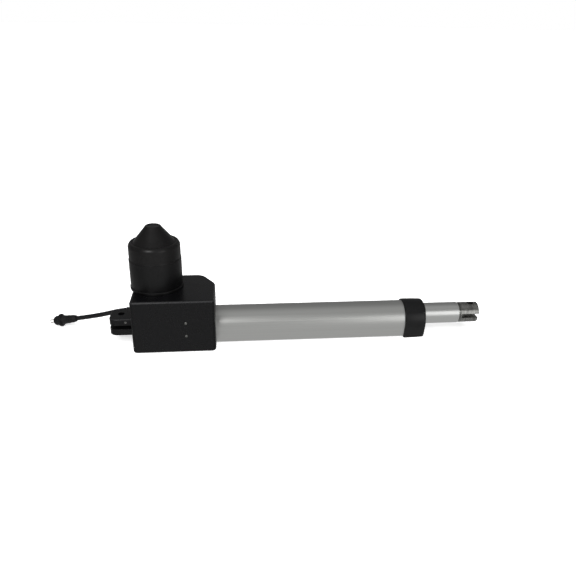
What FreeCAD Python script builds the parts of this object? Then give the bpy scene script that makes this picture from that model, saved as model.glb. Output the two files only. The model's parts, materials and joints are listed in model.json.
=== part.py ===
"""Electric linear actuator for a swing gate, as a parametric FreeCAD document.

A vertical motor drives a worm, the worm drives a wheel on the lead screw, and the screw
pushes a steel tube out of an aluminium profile. All sizes are in millimetres.

Frame: the origin is the centre of the rear pin bore, on the axis of the lead screw.
+X runs along the screw to the fork end, +Z is up, and the motor stands on the +Y side.
"""
import FreeCAD, Part
import math
import os
import re
import Sketcher
from FreeCAD import Placement, Rotation, Vector

DIMENSIONS = {
    # gearbox housing
    "case_rear": 25.0,
    "case_front": 174.0,
    "case_near": -58.0,
    "case_far": 66.0,
    "case_top": 65.0,
    "floor_drop": 37.0,
    "case_wall": 8.5,
    "case_round": 7.5,
    "case_edge": 4.5,
    "case_foot": 5.0,
    "case_cut_long": 24.0,
    "case_cut_wide": 42.0,
    "case_cut_round": 22.0,
    "lid_thick": 4.0,
    "post_radius": 6.5,
    # rear clevis and its pin
    "pin_bore": 6.1,
    "clevis_reach": 20.0,
    "clevis_width": 48.0,
    "clevis_tall": 33.0,
    "clevis_gap": 7.5,
    "clevis_corner": 13.0,
    "clevis_root": 4.0,
    "set_screw_along": 10.5,
    "set_screw_up": 10.0,
    # aluminium profile, an arch on a tapered base
    "arch_radius": 33.0,
    "arch_drop": 7.0,
    "base_drop": 34.2,
    "profile_wall": 2.5,
    "profile_end": 546.0,
    "port_radius": 4.0,
    # end cap over the profile
    "cap_rear": 530.0,
    "cap_front": 570.0,
    "cap_overlap": 3.0,
    "cap_base_drop": 37.0,
    "bush_radius": 22.3,
    "bush_front": 565.0,
    # moving tube and fork end
    "tube_radius": 20.0,
    "tube_bore": 17.0,
    "tube_rear": 192.0,
    "tube_front": 640.0,
    "fork_radius": 19.4,
    "fork_neck": 18.2,
    "fork_pin": 665.0,
    "fork_tip": 679.2,
    "fork_step": 2.2,
    "fork_gap": 8.0,
    "fork_slot": 645.0,
    # lead screw and nut
    "screw_radius": 8.0,
    "screw_front": 536.0,
    "nut_rear": 182.0,
    "nut_front": 222.0,
    "nut_flange": 21.8,
    "rear_bearing": 16.0,
    "front_bearing": 17.5,
    "stroke": 300.0,
    # worm drive and motor
    "motor_along": 67.5,
    "worm_side": 27.0,
    "wheel_radius": 20.0,
    "wheel_seat": 9.0,
    "key_side": 5.0,
    "worm_radius": 6.8,
    "shaft_radius": 4.0,
    "shaft_bearing": 11.0,
    "plate_thick": 6.0,
    "motor_radius": 31.0,
    "running_gap": 0.04,
    # motor cover
    "cover_side": 16.0,
    "cover_radius": 47.3,
    "cover_wall": 3.0,
    "cover_seam": 121.7,
    "hood_radius": 46.5,
    # supply cord
    "cord_radius": 4.4,
    "gland_stem": 6.5,
}

# Centres (y, z) of the four screw ports that run through the profile.
PORTS = [(-25.5, 5.0), (25.5, 5.0), (-23.5, -29.0), (23.5, -29.0)]
# Centres (y, z) of the four bolts that hold the rear clevis.
CLEVIS_BOLTS = [(-19.5, -11.5), (19.5, -11.5), (-19.5, 11.5), (19.5, 11.5)]
# Centres (x, y) of the posts that take the bottom cover's screws.
POSTS = [(40.0, -44.0), (160.0, -44.0), (40.0, 52.0), (118.0, 52.0)]
# Centres (x, z) of the two screws in the near wall that carry the terminal board.
BOARD_SCREWS = [(121.5, 22.0), (121.5, -3.5)]
# Bearings of the worm shaft: the lower face of each.
SHAFT_BEARINGS = [-29.0, 58.0, 133.0]
# Centres (x, y) of the screws that hold the motor's mount plate.
MOUNT_SCREWS = [(94.4, -10.9), (40.6, -10.9), (104.0, 25.8), (31.0, 25.8)]
# How far the profile's sides lean inwards towards the base.
SIDE_LEAN = math.radians(11)
WHEEL_TEETH = 32
ARMATURE_SLOTS = 12

# The cord's route from the gland to the plug, and the plug's axis beyond it.
CORD_ROUTE = [
    (4.0, 36.0, 7.2),
    (-14.0, 36.8, 4.7),
    (-36.0, 40.6, -2.2),
    (-59.0, 46.6, -8.8),
    (-80.0, 52.4, -14.2),
    (-97.0, 57.4, -18.5),
]
PLUG_HEAD = (-129.5, 64.2, -24.8)

doc = FreeCAD.newDocument("GateActuator")
sheet = doc.addObject("Spreadsheet::Sheet", "Dims")
for row, (alias, value) in enumerate(DIMENSIONS.items(), start=1):
    sheet.set(f"A{row}", alias)
    sheet.set(f"B{row}", str(value))
    sheet.setAlias(f"B{row}", alias)
doc.recompute()

ALONG_X = Rotation(Vector(0, 1, 0), 90)
ALONG_Y = Rotation(Vector(1, 0, 0), -90)
ALONG_Z = Rotation()


def formula(text):
    """Turn 'case_top - 3' into 'Dims.case_top - 3', for use outside the sheet."""
    return re.sub("[a-z_]+", lambda word: f"Dims.{word[0]}", str(text))


def value(text):
    """The number that a formula over the aliases gives."""
    return float(sheet.evalExpression(formula(text)))


def bind(item, name, text):
    item.setExpression(name, formula(text))


def fresh(kind, name):
    """A new object of the document, with a numbered name."""
    return doc.addObject(kind, f"{name}{len(doc.Objects)}")


def place(item, at, turn=ALONG_Z):
    """Place an object, with its position bound to formulas over the sheet."""
    item.Placement = Placement(Vector(0, 0, 0), turn)
    for axis, text in zip("xyz", at):
        bind(item, f"Placement.Base.{axis}", text)
    return item


def rod(radius, length, at, turn=ALONG_X):
    """A cylinder that starts at a point and runs along an axis."""
    item = fresh("Part::Cylinder", "rod")
    bind(item, "Radius", radius)
    bind(item, "Height", length)
    return place(item, at, turn)


def cone(start, end, length, at, turn=ALONG_X):
    """A cone frustum that starts at a point and runs along an axis."""
    item = fresh("Part::Cone", "cone")
    bind(item, "Radius1", start)
    bind(item, "Radius2", end)
    bind(item, "Height", length)
    return place(item, at, turn)


def block(long, wide, tall, at):
    """A box with its low corner at a point."""
    item = fresh("Part::Box", "block")
    bind(item, "Length", long)
    bind(item, "Width", wide)
    bind(item, "Height", tall)
    return place(item, at)


def fuse(items):
    if len(items) == 1:
        return items[0]
    item = fresh("Part::MultiFuse", "fuse")
    item.Shapes = items
    return item


def cut(base, tools):
    item = fresh("Part::Cut", "cut")
    item.Base = base
    item.Tool = fuse(tools)
    return item


def group(items):
    """Several separate solids in one sub-part, such as a set of screws."""
    item = fresh("Part::Compound", "group")
    item.Links = items
    return item


def ring(outer, bore, length, at, turn=ALONG_X):
    return cut(rod(outer, length, at, turn), [rod(bore, length, at, turn)])


def sketch_on(body, role, points, lift="0"):
    """A closed sketch on one of the body's origin planes. Each corner is a pair of
    formulas; a corner (x, y, centre x, centre y) starts an arc that turns anticlockwise
    about that centre and ends at the next corner."""
    sketch = body.newObject("Sketcher::SketchObject", f"sketch{len(doc.Objects)}")
    plane = next(item for item in body.Origin.OriginFeatures if item.Role == role)
    sketch.AttachmentSupport = [(plane, "")]
    sketch.MapMode = "FlatFace"
    bind(sketch, "AttachmentOffset.Base.z", lift)
    corners = [[value(text) for text in point] for point in points]
    count = len(corners)
    for index, corner in enumerate(corners):
        start = Vector(corner[0], corner[1], 0)
        after = corners[(index + 1) % count]
        end = Vector(after[0], after[1], 0)
        if len(corner) == 4:
            centre = Vector(corner[2], corner[3], 0)
            first = math.atan2(start.y - centre.y, start.x - centre.x)
            last = math.atan2(end.y - centre.y, end.x - centre.x)
            circle = Part.Circle(centre, Vector(0, 0, 1), start.distanceToPoint(centre))
            sketch.addGeometry(Part.ArcOfCircle(circle, first, last), False)
        else:
            sketch.addGeometry(Part.LineSegment(start, end), False)
    for index in range(count):
        after = (index + 1) % count
        sketch.addConstraint(Sketcher.Constraint("Coincident", index, 2, after, 1))
    for index, point in enumerate(points):
        for kind, text, number in zip(("DistanceX", "DistanceY"), point, corners[index]):
            at = sketch.addConstraint(Sketcher.Constraint(kind, -1, 1, index, 1, number))
            if any(alias in text for alias in DIMENSIONS):
                sketch.setExpression(f"Constraints[{at}]", formula(text))
        if len(point) == 4:
            level = Sketcher.Constraint("DistanceY", -1, 1, index, 3, corners[index][3])
            at = sketch.addConstraint(level)
            sketch.setExpression(f"Constraints[{at}]", formula(point[3]))
    return sketch


def new_body():
    return fresh("PartDesign::Body", "body")


def pad(body, sketch, length):
    item = body.newObject("PartDesign::Pad", f"pad{len(doc.Objects)}")
    item.Profile = sketch
    bind(item, "Length", length)
    doc.recompute()
    return item


def soften(body, base, test, radius):
    """Round the edges of the body's latest feature for which the test is true."""
    names = [f"Edge{i}" for i, edge in enumerate(base.Shape.Edges, 1) if test(edge)]
    item = body.newObject("PartDesign::Fillet", f"fillet{len(doc.Objects)}")
    item.Base = (base, names)
    bind(item, "Radius", radius)
    doc.recompute()
    return item


def turned(points, axis, at=("0", "0", "0")):
    """A body turned about the sketch's H_Axis (along X) or V_Axis (along Z)."""
    body = new_body()
    sketch = sketch_on(body, "XZ_Plane", points)
    item = body.newObject("PartDesign::Revolution", f"turned{len(doc.Objects)}")
    item.Profile = sketch
    item.ReferenceAxis = (sketch, [axis])
    item.Angle = 360
    doc.recompute()
    return place(body, at)


def is_upright(edge, x, y):
    """Whether an edge stands along Z at the given x and y."""
    ends = [vertex.Point for vertex in edge.Vertexes]
    return all(abs(p.x - x) < 0.01 and abs(p.y - y) < 0.01 for p in ends)


def is_level(edge, z):
    """Whether an edge lies in the plane at height z."""
    return abs(edge.BoundBox.ZMin - z) < 0.01 and abs(edge.BoundBox.ZMax - z) < 0.01


def rounded_case(inset, low, tall):
    """The housing's plan, a rectangle with one corner cut off, padded upwards and rounded."""
    body = new_body()
    x0, x1 = f"case_rear + ({inset})", f"case_front - ({inset})"
    y0, y1 = f"case_near + ({inset})", f"case_far - ({inset})"
    square = [(x0, y0), (x1, y0), (x0, y1)]
    slanted = [(x1, f"{y1} - case_cut_wide"), (f"{x1} - case_cut_long", y1)]
    corners = square[:2] + slanted + square[2:]
    item = pad(body, sketch_on(body, "XY_Plane", corners, low), tall)
    square_radius = "case_round" if inset == "0" else "3"
    for group_of, radius in ((slanted, "case_cut_round"), (square, square_radius)):
        places = [(value(x), value(y)) for x, y in group_of]
        item = soften(
            body, item, lambda edge: any(is_upright(edge, *at) for at in places), radius
        )
    return body, item


def gearbox_housing():
    """Die-cast box that holds both gear axes, open underneath."""
    outer, item = rounded_case("0", "-floor_drop", "case_top + floor_drop")
    for level, radius in (("case_top", "case_edge"), ("-floor_drop", "case_foot")):
        height = value(level)
        item = soften(outer, item, lambda edge: is_level(edge, height), radius)
    cavity, _ = rounded_case(
        "case_wall", "-floor_drop - 1", "case_top + floor_drop - case_wall + 1"
    )
    shell = cut(outer, [cavity])
    bosses = [
        block("24", "54", "41", ("case_rear + 2", "-27", "-20.5")),
        rod("25", "20", ("case_front - 22", "0", "0")),
        rod("15", "12", ("motor_along", "worm_side", "case_top - 15"), ALONG_Z),
    ]
    posts = [
        rod("post_radius", "case_top + floor_drop - lid_thick - 4", (x, y, "lid_thick - floor_drop"),
            ALONG_Z)
        for x, y in POSTS
    ]
    bores = [
        rod("rear_bearing", "17", ("case_rear", "0", "0")),
        rod("13", "26", ("case_rear", "0", "0")),
        rod("front_bearing", "16", ("case_front - 22", "0", "0")),
        rod("10", "24", ("case_front - 23", "0", "0")),
        rod("shaft_bearing", "8", ("motor_along", "worm_side", "case_top - 7"), ALONG_Z),
        rod("7", "20", ("motor_along", "worm_side", "case_top - 16"), ALONG_Z),
        rod("4", "12", ("motor_along + 18", "-18", "case_top - 10"), ALONG_Z),
        rod("gland_stem", "12", ("case_rear - 1", CORD_ROUTE[0][1], CORD_ROUTE[0][2])),
    ]
    for y, z in CLEVIS_BOLTS:
        bores.append(rod("3.1", "30", ("case_rear - 1", y, z)))
        bores.append(rod("5.2", "8", ("case_rear + 17", y, z)))
    for y, z in PORTS:
        bores.append(rod("2.1", "12", ("case_front - 10", y, z)))
        bores.append(rod("4.2", "14", ("case_front - case_wall - 14", y, z)))
    for x, y in MOUNT_SCREWS:
        bores.append(rod("2.55", "11", (x, y, "case_top - 10"), ALONG_Z))
    for x, z in BOARD_SCREWS:
        bores.append(rod("1.8", "10", (x, "case_near - 1", z), ALONG_Y))
    for x, y in POSTS:
        bores.append(rod("2.05", "17", (x, y, "lid_thick - floor_drop - 1"), ALONG_Z))
    return cut(fuse([shell] + bosses + posts), bores)


def bottom_cover():
    """Cover plate under the gearbox, with the seat of the worm shaft's lower bearing."""
    plate, _ = rounded_case("case_wall + 0.1", "-floor_drop", "lid_thick")
    boss = rod("14", "9", ("motor_along", "worm_side", "lid_thick - floor_drop"), ALONG_Z)
    bores = [rod("shaft_bearing", "10", ("motor_along", "worm_side", "-29"), ALONG_Z)]
    for x, y in POSTS:
        bores.append(rod("2.1", "lid_thick + 2", (x, y, "-floor_drop - 1"), ALONG_Z))
        bores.append(rod("4", "3", (x, y, "-floor_drop"), ALONG_Z))
    return cut(fuse([plate, boss]), bores)


def bottom_cover_screws():
    """Screws with sunk heads that hold the bottom cover, one for each post."""
    screws = []
    for x, y in POSTS:
        head = rod("3.9", "2.8", (x, y, "0.2 - floor_drop"), ALONG_Z)
        shank = rod("2", "15", (x, y, "3 - floor_drop"), ALONG_Z)
        socket = rod("1.5", "1.5", (x, y, "0.2 - floor_drop"), ALONG_Z)
        screws.append(cut(fuse([head, shank]), [socket]))
    return group(screws)


def rear_clevis():
    """Forked lug with a vertical pin bore, spigotted into the gearbox's rear wall."""
    body = new_body()
    x0, x1 = "-clevis_reach", "case_rear"
    y0, y1 = "-clevis_width / 2", "clevis_width / 2"
    corners = [(x0, y0), (x1, y0), (x1, y1), (x0, y1)]
    lug = pad(body, sketch_on(body, "XY_Plane", corners, "-clevis_tall / 2"), "clevis_tall")
    nose = [(value(x0), value(y0)), (value(x0), value(y1))]
    lug = soften(
        body, lug, lambda edge: any(is_upright(edge, *c) for c in nose), "clevis_corner"
    )
    levels = [value("clevis_tall / 2"), value("-clevis_tall / 2")]
    rear = value("case_rear")
    soften(
        body,
        lug,
        lambda edge: any(is_level(edge, z) for z in levels) and edge.BoundBox.XMin < rear - 1,
        "2",
    )
    spigot = rod("rear_bearing - 0.05", "8", ("case_rear", "0", "0"))
    slot = block(
        "clevis_reach + case_rear - clevis_root + 1", "clevis_width + 2", "clevis_gap",
        ("-clevis_reach - 1", "-clevis_width / 2 - 1", "-clevis_gap / 2"),
    )
    bores = [
        rod("pin_bore", "clevis_tall + 2", ("0", "0", "-clevis_tall / 2 - 1"), ALONG_Z),
        rod("2.1", "9", ("set_screw_along", "-clevis_width / 2 - 1", "set_screw_up"), ALONG_Y),
        slot,
    ]
    bores += [rod("3.05", "13", ("case_rear - 12", y, z)) for y, z in CLEVIS_BOLTS]
    return cut(fuse([body, spigot]), bores)


def clevis_bolts():
    """Socket-head bolts from inside the gearbox into the clevis."""
    bolts = []
    for y, z in CLEVIS_BOLTS:
        shank = rod("3", "29", ("case_rear - 12", y, z))
        head = rod("5", "6", ("case_rear + 17", y, z))
        socket = rod("2.5", "3", ("case_rear + 20", y, z))
        bolts.append(cut(fuse([shank, head]), [socket]))
    return group(bolts)


def clevis_set_screw():
    """Small set screw in the near side of the upper lug."""
    start = ("set_screw_along", "-clevis_width / 2 - 0.4", "set_screw_up")
    return cut(rod("2", "7", start, ALONG_Y), [rod("1", "2", start, ALONG_Y)])


def rear_screw_bearing():
    return ring("rear_bearing", "7.5 + running_gap", "9", ("case_rear + 8", "0", "0"))


def front_screw_bearing():
    return ring("front_bearing", "8.5 + running_gap", "10", ("case_front - 16", "0", "0"))


def worm_shaft_bearings():
    """Three equal bearings: in the bottom cover, the housing's roof and the motor's end."""
    return group(
        [
            ring("shaft_bearing", "shaft_radius + running_gap", "7",
                 ("motor_along", "worm_side", low), ALONG_Z)
            for low in SHAFT_BEARINGS
        ]
    )


def motor_mount_plate():
    """Aluminium plate between the gearbox's roof and the motor."""
    plate = rod("cover_radius - 3.4", "plate_thick",
                ("motor_along", "cover_side", "case_top"), ALONG_Z)
    register = rod("motor_radius - 2.1", "2",
                   ("motor_along", "worm_side", "case_top + plate_thick"), ALONG_Z)
    bores = [
        rod("7", "10", ("motor_along", "worm_side", "case_top - 1"), ALONG_Z),
        rod("4", "8", ("motor_along + 18", "-18", "case_top - 1"), ALONG_Z),
    ]
    bores += [rod("2.6", "8", (x, y, "case_top - 1"), ALONG_Z) for x, y in MOUNT_SCREWS]
    return cut(fuse([plate, register]), bores)


def motor_mount_screws():
    screws = []
    for x, y in MOUNT_SCREWS:
        shank = rod("2.5", "15", (x, y, "case_top - 9"), ALONG_Z)
        head = rod("4.4", "4", (x, y, "case_top + plate_thick"), ALONG_Z)
        socket = rod("2", "2", (x, y, "case_top + plate_thick + 2"), ALONG_Z)
        screws.append(cut(fuse([shank, head]), [socket]))
    return group(screws)


def motor_can():
    """Steel shell of the motor."""
    return ring("motor_radius", "motor_radius - 2", "60",
                ("motor_along", "worm_side", "case_top + plate_thick"), ALONG_Z)


def motor_magnets():
    """Two ferrite arcs on the inside of the can."""
    magnets = []
    for side in (-1, 1):
        arc = ring("motor_radius - 2", "25", "46",
                   ("motor_along", "worm_side", "case_top + 13"), ALONG_Z)
        keep = block("60", "22", "50",
                     ("motor_along - 30", f"worm_side + {side * 20 - 11}", "case_top + 12"))
        item = fresh("Part::Common", "arc")
        item.Base = arc
        item.Tool = keep
        magnets.append(item)
    return group(magnets)


def brush_end_bell():
    """Moulded end bell that closes the can and holds the upper bearing."""
    base = ("motor_along", "worm_side", "case_top + plate_thick + 60")
    hollows = [
        ring("27", "13", "7", base, ALONG_Z),
        rod("shaft_bearing", "9", base, ALONG_Z),
        rod("5", "12", base, ALONG_Z),
    ]
    return cut(rod("motor_radius", "10", base, ALONG_Z), hollows)


def brush_holder():
    """Insulating disc that carries the brushes."""
    return ring("motor_radius - 2.1", "11", "3",
                ("motor_along", "worm_side", "case_top + 62"), ALONG_Z)


def carbon_brushes():
    """Two brushes under the holder, one each side of the commutator."""
    return group(
        [
            block("5", "9", "5",
                  ("motor_along - 2.5", f"worm_side + {low}", "case_top + 57"))
            for low in (-18.1, 9.1)
        ]
    )


def motor_shaft():
    """Shaft shared by the motor's armature and the worm."""
    return rod("shaft_radius", "169.5", ("motor_along", "worm_side", "-28.8"), ALONG_Z)


def armature_core():
    """Laminated core with a slot for each coil."""
    core = ring("23.9", "shaft_radius", "36",
                ("motor_along", "worm_side", "case_top + 17"), ALONG_Z)
    slots = []
    for index in range(ARMATURE_SLOTS):
        turn = 360 / ARMATURE_SLOTS * index
        slot = block("14", "3", "40", ("motor_along", "worm_side", "case_top + 15"))
        angle = math.radians(turn)
        slot.Placement.Rotation = Rotation(Vector(0, 0, 1), turn)
        bind(slot, "Placement.Base.x",
             f"motor_along + {14 * math.cos(angle) + 1.5 * math.sin(angle):.4f}")
        bind(slot, "Placement.Base.y",
             f"worm_side + {14 * math.sin(angle) - 1.5 * math.cos(angle):.4f}")
        slots.append(slot)
    return cut(core, slots)


def armature_windings():
    """End turns of the coils, above and below the core."""
    return group(
        [
            ring("21", "shaft_radius + 2", "3.5", ("motor_along", "worm_side", low), ALONG_Z)
            for low in ("case_top + 13.5", "case_top + 53")
        ]
    )


def commutator():
    return ring("9", "shaft_radius", "8", ("motor_along", "worm_side", "case_top + 58"), ALONG_Z)


def worm():
    """Worm on the motor's shaft, drawn to the outside of its thread."""
    body = rod("worm_radius", "28", ("motor_along", "worm_side", "-14"), ALONG_Z)
    hubs = rod("5.6", "34", ("motor_along", "worm_side", "-17"), ALONG_Z)
    return cut(fuse([body, hubs]),
               [rod("shaft_radius", "40", ("motor_along", "worm_side", "-20"), ALONG_Z)])


def key(length):
    """A square key, half sunk in the wheel's seat on the lead screw."""
    return block(length, "key_side", "key_side",
                 (f"motor_along - {length} / 2", "-key_side / 2", "wheel_seat - key_side / 2"))


def worm_wheel():
    """Bronze wheel keyed to the lead screw."""
    blank = ring("wheel_radius", "wheel_seat", "14", ("motor_along - 7", "0", "0"))
    gashes = [key("14")]
    for index in range(WHEEL_TEETH):
        angle = 2 * math.pi * index / WHEEL_TEETH
        y, z = (f"wheel_radius * {way:.6f}" for way in (math.cos(angle), math.sin(angle)))
        gashes.append(rod("1.2", "16", ("motor_along - 8", y, z)))
    return cut(blank, gashes)


def wheel_key():
    return key("12")


def wheel_circlip():
    """Ring that keeps the wheel against the screw's collar."""
    clip = ring("wheel_seat + 3", "wheel_seat", "1.5", ("motor_along + 7", "0", "0"))
    return cut(clip, [block("2", "8", "14", ("motor_along + 6.8", "-4", "-14"))])


def lead_screw():
    """Screw shaft with its journals, collar and wheel seat."""
    points = [
        ("case_rear + 8.5", "0"), ("case_rear + 8.5", "7.5"),
        ("case_rear + 17.5", "7.5"), ("case_rear + 17.5", "10"),
        ("motor_along - 12", "10"), ("motor_along - 12", "12"),
        ("motor_along - 7", "12"), ("motor_along - 7", "wheel_seat"),
        ("case_front - 16", "wheel_seat"), ("case_front - 16", "8.5"),
        ("case_front - 6", "8.5"), ("case_front - 6", "screw_radius"),
        ("screw_front - 2", "screw_radius"), ("screw_front", "screw_radius - 2"),
        ("screw_front", "0"),
    ]
    shaft = turned(points, "H_Axis")
    return cut(shaft, [key("12")])


def screw_end_guide():
    """Nylon disc on the screw's front end that runs inside the moving tube."""
    return ring("tube_bore - 0.08", "screw_radius", "7", ("screw_front - 10", "0", "0"))


def drive_nut():
    """Flanged plastic nut that carries the moving tube."""
    flange = rod("nut_flange", "tube_rear - nut_rear", ("nut_rear", "0", "0"))
    spigot = rod("tube_bore", "nut_front - tube_rear", ("tube_rear", "0", "0"))
    bores = [rod("screw_radius + 0.05", "nut_front - nut_rear + 2", ("nut_rear - 1", "0", "0"))]
    bores += grub_holes("2.05")
    return cut(fuse([flange, spigot]), bores)


def grub_holes(radius):
    """Two radial holes through the tube into the nut."""
    return [
        rod(radius, "8.5", ("tube_rear + 15", low, "0"), ALONG_Y) for low in ("-20.5", "12")
    ]


def nut_grub_screws():
    return group(
        [rod("2", "7.5", ("tube_rear + 15", low, "0"), ALONG_Y) for low in ("-19.7", "12.2")]
    )


def inner_tube():
    """Steel tube that slides out of the end cap."""
    points = [
        ("tube_rear", "tube_bore"), ("tube_rear", "tube_radius"),
        ("tube_front - 0.8", "tube_radius"), ("tube_front", "tube_radius - 0.8"),
        ("tube_front", "tube_bore"),
    ]
    return cut(turned(points, "H_Axis"), grub_holes("2.05"))


def fork_end():
    """Steel fork fixed in the front of the tube, with a vertical pin bore and a lower prong
    that is a little shorter than the upper one."""
    points = [
        ("tube_front - 26", "0"), ("tube_front - 26", "tube_bore"),
        ("tube_front", "tube_bore"), ("tube_front", "fork_neck"),
        ("tube_front + 2.4", "fork_neck"), ("tube_front + 3.6", "fork_radius"),
        ("fork_tip - 2.4", "fork_radius"), ("fork_tip - 0.7", "fork_radius - 0.7"),
        ("fork_tip", "fork_radius - 2.4"), ("fork_tip", "0"),
    ]
    slot = block("fork_tip - fork_slot + 1", "2 * fork_radius + 2", "fork_gap",
                 ("fork_slot", "-fork_radius - 1", "-fork_gap / 2"))
    step = block("fork_step + 1", "2 * fork_radius + 2", "fork_radius",
                 ("fork_tip - fork_step", "-fork_radius - 1", "-fork_radius - 1"))
    bore = rod("pin_bore", "2 * fork_radius + 2", ("fork_pin", "0", "-fork_radius - 1"), ALONG_Z)
    return cut(turned(points, "H_Axis"), [slot, step, bore])


def arch(rear, length, radius, base_drop):
    """A prism along X: a round top that runs smoothly into sides leaning inwards."""
    body = new_body()
    across = f"({radius}) * {math.cos(SIDE_LEAN):.6f}"
    down = f"arch_drop + ({radius}) * {math.sin(SIDE_LEAN):.6f}"
    base = f"{across} - ({base_drop} - ({down})) * {math.tan(SIDE_LEAN):.6f}"
    points = [
        (across, f"-({down})", "0", "-arch_drop"),
        (f"-({across})", f"-({down})"),
        (f"-({base})", f"-({base_drop})"),
        (base, f"-({base_drop})"),
    ]
    item = pad(body, sketch_on(body, "YZ_Plane", points, rear), length)
    low = -value(base_drop)
    long = value(length)
    return body, soften(
        body, item, lambda edge: is_level(edge, low) and edge.BoundBox.XLength > long - 1, "2.5"
    )


def outer_tube():
    """Aluminium profile between the gearbox and the end cap, with four screw ports."""
    length = "profile_end - case_front"
    skin, _ = arch("case_front", length, "arch_radius", "base_drop")
    hollow, _ = arch(
        "case_front - 1", f"{length} + 2", "arch_radius - profile_wall",
        "base_drop - profile_wall",
    )
    ports = [rod("port_radius", length, ("case_front", y, z)) for y, z in PORTS]
    bores = [rod("2", f"{length} + 2", ("case_front - 1", y, z)) for y, z in PORTS]
    return cut(fuse([cut(skin, [hollow])] + ports), bores)


def body_screws():
    """Screws from inside the gearbox into the profile's ports."""
    screws = []
    for y, z in PORTS:
        shank = rod("2", "26", ("case_front - case_wall", y, z))
        head = rod("3.6", "3.5", ("case_front - case_wall - 3.5", y, z))
        socket = rod("1.5", "2", ("case_front - case_wall - 3.5", y, z))
        screws.append(cut(fuse([shank, head]), [socket]))
    return group(screws)


def rear_buffer():
    """Rubber washer that the nut meets when the tube is fully in."""
    return ring("19", "10.5", "6", ("case_front", "0", "0"))


def stop_tube():
    """Sleeve that stops the nut when the tube is fully out."""
    return ring("tube_radius + 1.7", "tube_radius + 0.3", "profile_end - tube_rear - stroke - 1",
                ("tube_rear + stroke + 1", "0", "0"))


def guide_bush():
    """Plastic bush in the end cap, in which the moving tube slides."""
    return ring("bush_radius", "tube_radius + 0.05", "bush_front - profile_end",
                ("profile_end", "0", "0"))


def wiper_seal():
    """Rubber wiper that stands a little out of the end cap."""
    points = [
        ("bush_front", "tube_radius + 0.3"), ("bush_front", "tube_radius + 2"),
        ("cap_front + 2", "tube_radius + 2"), ("cap_front + 3", "tube_radius + 1"),
        ("cap_front + 3", "tube_radius + 0.06"), ("cap_front + 1", "tube_radius + 0.06"),
        ("cap_front - 1", "tube_radius + 0.3"),
    ]
    return turned(points, "H_Axis")


def end_cap():
    """Moulded cap over the profile's end, with seats for the bush and the wiper."""
    length = "cap_front - cap_rear"
    body, item = arch("cap_rear", length, "arch_radius + cap_overlap", "cap_base_drop")
    front = value("cap_front")
    soften(
        body,
        item,
        lambda edge: edge.BoundBox.XMin > front - 0.01,
        "2.4",
    )
    sleeve, _ = arch("cap_rear - 1", "profile_end - cap_rear + 1", "arch_radius", "base_drop")
    bores = [
        sleeve,
        rod("bush_radius", "bush_front - profile_end + 1", ("profile_end - 1", "0", "0")),
        rod("tube_radius + 2", "8", ("bush_front - 1", "0", "0")),
    ]
    for y, z in PORTS:
        bores.append(rod("2.1", "24", ("profile_end - 1", y, z)))
        bores.append(rod("3.7", "6", ("cap_front - 4", y, z)))
    return cut(body, bores)


def end_cap_screws():
    screws = []
    for y, z in PORTS:
        shank = rod("2", "36", ("cap_front - 40", y, z))
        head = rod("3.6", "3.2", ("cap_front - 4", y, z))
        socket = rod("1.5", "2", ("cap_front - 2.8", y, z))
        screws.append(cut(fuse([shank, head]), [socket]))
    return group(screws)


def cover_base_ring():
    """Ring that seats the motor cover on the gearbox's roof."""
    return ring("cover_radius + 1", "cover_radius - 3.3", "5",
                ("motor_along", "cover_side", "case_top"), ALONG_Z)


def motor_cover():
    """Plain lower shell of the motor cover."""
    return ring("cover_radius", "cover_radius - cover_wall", "cover_seam - case_top - 5",
                ("motor_along", "cover_side", "case_top + 5"), ALONG_Z)


def motor_hood():
    """Soft upper shell with a round shoulder and a cone, and a lip inside the lower shell."""
    points = [
        ("hood_radius", "cover_seam"), ("hood_radius", "145"), ("45.6", "148.2"),
        ("43.6", "150.8"), ("40.4", "152.2"), ("38.6", "152.4"), ("36.9", "153.6"),
        ("35.2", "156.2"), ("15.8", "178.6"), ("13.8", "180.8"), ("11", "181.5"),
        ("0", "181.6"), ("0", "179"), ("10.4", "178.8"), ("12.8", "176.8"),
        ("32.8", "154.2"), ("34.6", "151"), ("38", "149.6"), ("41.6", "148.2"),
        ("43.4", "145"), ("43.4", "cover_seam"), ("42.6", "cover_seam"), ("42.6", "115"),
        ("44.2", "115"), ("44.2", "cover_seam"),
    ]
    return turned(points, "V_Axis", ("motor_along", "cover_side", "0"))


def terminal_board():
    """Circuit board on the near wall that joins the cord to the motor's leads."""
    plate = block("40", "1.6", "42", ("101.5", "case_near + 11.5", "-12"))
    return cut(plate, [rod("1.6", "4", (x, "case_near + 11", z), ALONG_Y)
                       for x, z in BOARD_SCREWS])


def terminal_block():
    body = block("28", "10", "11", ("107.5", "case_near + 13.1", "3"))
    wells = [rod("2.6", "4", (f"{112.5 + 9 * step}", "case_near + 19.5", "8.5"), ALONG_Y)
             for step in range(3)]
    return cut(body, wells)


def board_spacers():
    return group([ring("3.4", "1.8", "3", (x, "case_near + case_wall", z), ALONG_Y)
                  for x, z in BOARD_SCREWS])


def board_screws():
    """Bright screws in the near wall, with slightly domed heads."""
    screws = []
    for x, z in BOARD_SCREWS:
        shank = rod("1.5", "14.4", (x, "case_near", z), ALONG_Y)
        head = cone("1.9", "2.6", "1.1", (x, "case_near - 1.1", z), ALONG_Y)
        socket = rod("0.9", "0.8", (x, "case_near - 1.1", z), ALONG_Y)
        screws.append(cut(fuse([shank, head]), [socket]))
    return group(screws)


def cable_gland():
    """Moulded strain relief in the rear wall, behind the clevis."""
    x, y, z = CORD_ROUTE[0]
    nose = cone("cord_radius + 0.9", "7", f"case_rear - 3 - {x}", (x, y, z))
    flange = rod("8.4", "3", ("case_rear - 3", y, z))
    stem = rod("gland_stem", "11", ("case_rear", y, z))
    return fuse([nose, flange, stem])


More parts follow.
